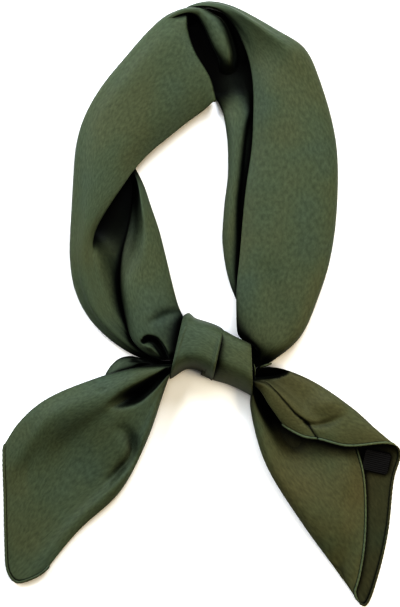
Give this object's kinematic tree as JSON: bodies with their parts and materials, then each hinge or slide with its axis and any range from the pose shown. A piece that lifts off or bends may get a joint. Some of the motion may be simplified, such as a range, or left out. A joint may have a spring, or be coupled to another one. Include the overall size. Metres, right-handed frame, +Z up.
{
  "type": "square scarf",
  "caption": "Square satin scarf folded into a band, laid in a tall loop and tied once, with two splayed ends.",
  "frame": {"origin": "middle of the scarf's outline on the surface that it lies on", "axes": "+Y from the ends through the knot to the top of the loop, +X to the right of the loop seen from above, +Z up from the surface"},
  "size_m": [0.2788, 0.4212, 0.0339],
  "materials": {
    "satin": "satin weave, olive green with a soft sheen",
    "tag": "black ribbon satin"
  },
  "bodies": {
    "root": {"left_band": "satin", "right_band": "satin", "right_inner_layer": "satin", "left_inner_roll": "satin", "knot_wrap": "satin", "left_tail": "satin", "right_tail": "satin", "label_tag": "tag"}
  },
  "joints": []
}
